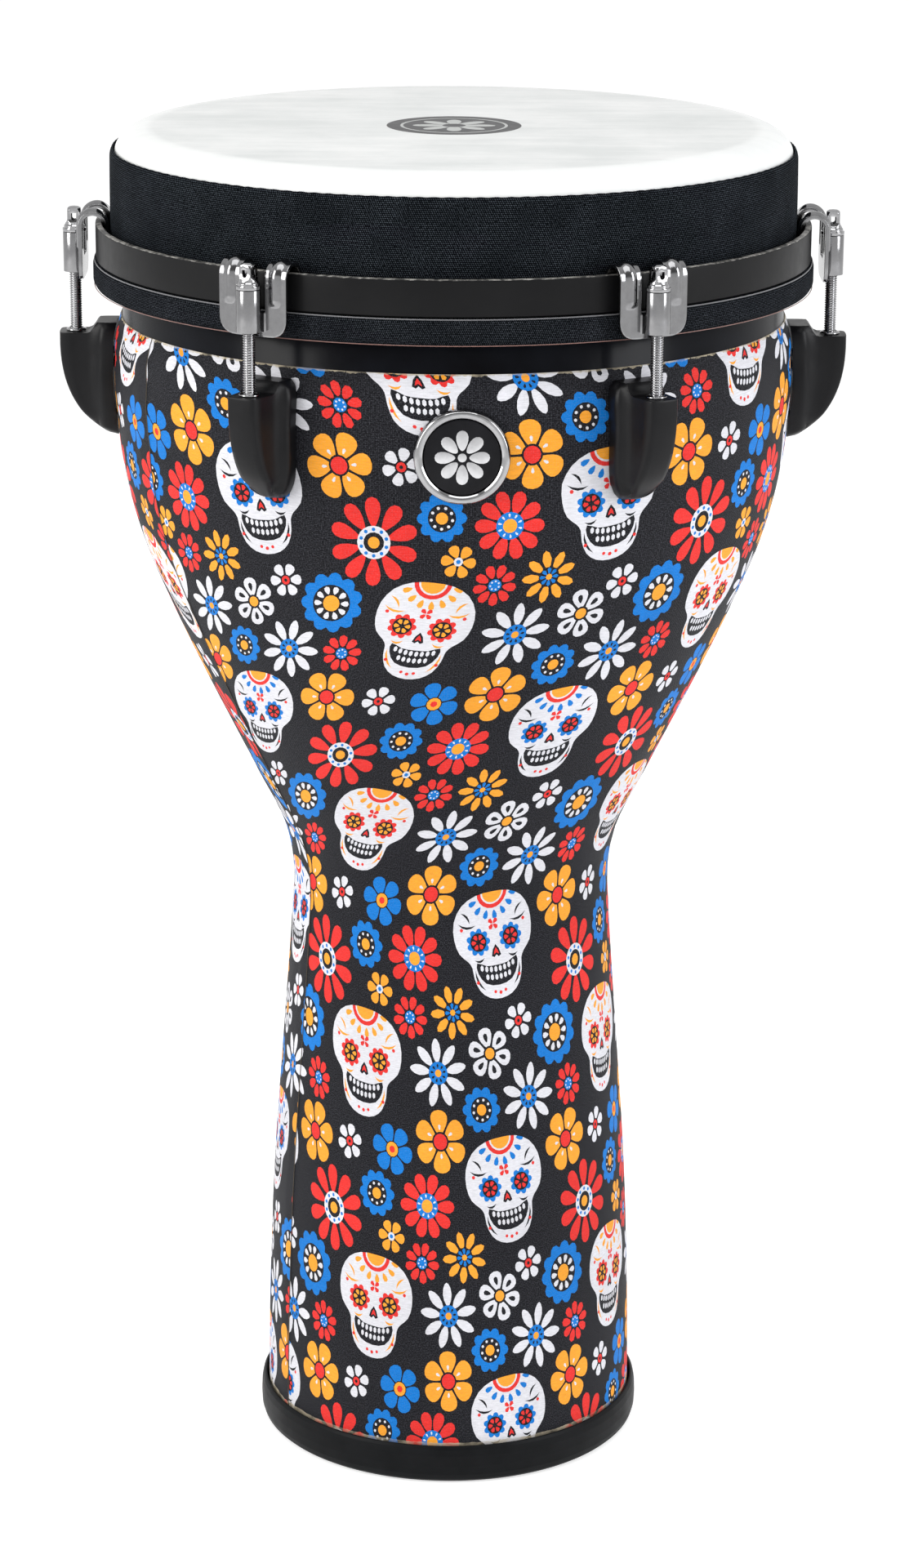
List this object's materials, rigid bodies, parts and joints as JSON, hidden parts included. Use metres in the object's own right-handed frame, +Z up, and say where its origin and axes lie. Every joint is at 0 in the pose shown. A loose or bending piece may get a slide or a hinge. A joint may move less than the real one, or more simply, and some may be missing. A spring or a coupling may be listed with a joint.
{
  "type": "djembe hand drum",
  "caption": "Goblet hand drum: printed cloth over a fibreglass shell, synthetic head pulled down by a steel hoop, claw hooks, threaded rods and key nuts, rubber foot ring.",
  "frame": {"origin": "centre of the foot ring's underside, on the floor", "axes": "+Z up along the drum's axis, towards the playing head; -Y towards the badge, between two lugs; +X to the right seen from the badge side"},
  "size_m": [0.3568, 0.3246, 0.6244],
  "materials": {
    "shell_lacquer": "gloss black lacquer over laid-up fibreglass",
    "printed_cloth": "charcoal plain-weave cotton printed with flowers and sugar skulls, under a clear satin coat",
    "foot_rubber": "moulded matt black rubber",
    "head_film": "mottled off-white synthetic skin film",
    "sleeve_cloth": "coarse black knitted cloth",
    "hoop_coat": "satin black powder coat on flat steel",
    "chrome": "polished chrome plate",
    "badge_black": "gloss black domed enamel",
    "rod_steel": "chrome-plated rolled thread",
    "lug_plastic": "satin black moulded nylon",
    "screw_steel": "zinc-plated steel"
  },
  "bodies": {
    "drum": {"shell": "shell_lacquer", "cloth_wrap": "printed_cloth", "foot_ring": "foot_rubber", "head_membrane": "head_film", "head_sleeve": "sleeve_cloth", "badge_ring": "chrome", "badge_dome": "badge_black", "tuning_rod_1": "rod_steel", "tuning_rod_2": "rod_steel", "tuning_rod_3": "rod_steel", "tuning_rod_4": "rod_steel", "tuning_rod_5": "rod_steel", "tuning_rod_6": "rod_steel", "rod_washer_1": "chrome", "rod_washer_2": "chrome", "rod_washer_3": "chrome", "rod_washer_4": "chrome", "rod_washer_5": "chrome", "rod_washer_6": "chrome", "lug_1": "lug_plastic", "lug_2": "lug_plastic", "lug_3": "lug_plastic", "lug_4": "lug_plastic", "lug_5": "lug_plastic", "lug_6": "lug_plastic", "lug_screw_low_1": "screw_steel", "lug_screw_low_2": "screw_steel", "lug_screw_low_3": "screw_steel", "lug_screw_low_4": "screw_steel", "lug_screw_low_5": "screw_steel", "lug_screw_low_6": "screw_steel", "lug_screw_top_1": "screw_steel", "lug_screw_top_2": "screw_steel", "lug_screw_top_3": "screw_steel", "lug_screw_top_4": "screw_steel", "lug_screw_top_5": "screw_steel", "lug_screw_top_6": "screw_steel"},
    "hoop": {"counter_hoop": "hoop_coat", "flesh_hoop": "sleeve_cloth", "claw_hook_1": "chrome", "claw_hook_2": "chrome", "claw_hook_3": "chrome", "claw_hook_4": "chrome", "claw_hook_5": "chrome", "claw_hook_6": "chrome"},
    "nut_1": {"tuning_nut_1": "chrome"},
    "nut_2": {"tuning_nut_2": "chrome"},
    "nut_3": {"tuning_nut_3": "chrome"},
    "nut_4": {"tuning_nut_4": "chrome"},
    "nut_5": {"tuning_nut_5": "chrome"},
    "nut_6": {"tuning_nut_6": "chrome"}
  },
  "joints": [
    {"name": "hoop_travel", "type": "slide", "parent": "drum", "child": "hoop", "axis": [0, 0, 1], "range_m": [-0.0045, 0.0045], "deforming": ["head_sleeve"]},
    {"name": "nut_1_turn", "type": "hinge", "parent": "hoop", "child": "nut_1", "pos_m": [0.171, 0, 0.5763], "axis": [0, 0, 1], "range_deg": [-1530.8, 1530.8]},
    {"name": "nut_2_turn", "type": "hinge", "parent": "hoop", "child": "nut_2", "pos_m": [0.0855, 0.14809, 0.5763], "axis": [0, 0, 1], "range_deg": [-1530.8, 1530.8]},
    {"name": "nut_3_turn", "type": "hinge", "parent": "hoop", "child": "nut_3", "pos_m": [-0.0855, 0.14809, 0.5763], "axis": [0, 0, 1], "range_deg": [-1530.8, 1530.8]},
    {"name": "nut_4_turn", "type": "hinge", "parent": "hoop", "child": "nut_4", "pos_m": [-0.171, 0, 0.5763], "axis": [0, 0, 1], "range_deg": [-1530.8, 1530.8]},
    {"name": "nut_5_turn", "type": "hinge", "parent": "hoop", "child": "nut_5", "pos_m": [-0.0855, -0.14809, 0.5763], "axis": [0, 0, 1], "range_deg": [-1530.8, 1530.8]},
    {"name": "nut_6_turn", "type": "hinge", "parent": "hoop", "child": "nut_6", "pos_m": [0.0855, -0.14809, 0.5763], "axis": [0, 0, 1], "range_deg": [-1530.8, 1530.8]}
  ],
  "couplings": [
    {"joint": "nut_1_turn", "follows": "hoop_travel", "rad_per_m": 5936.9},
    {"joint": "nut_2_turn", "follows": "hoop_travel", "rad_per_m": 5936.9},
    {"joint": "nut_3_turn", "follows": "hoop_travel", "rad_per_m": 5936.9},
    {"joint": "nut_4_turn", "follows": "hoop_travel", "rad_per_m": 5936.9},
    {"joint": "nut_5_turn", "follows": "hoop_travel", "rad_per_m": 5936.9},
    {"joint": "nut_6_turn", "follows": "hoop_travel", "rad_per_m": 5936.9}
  ]
}
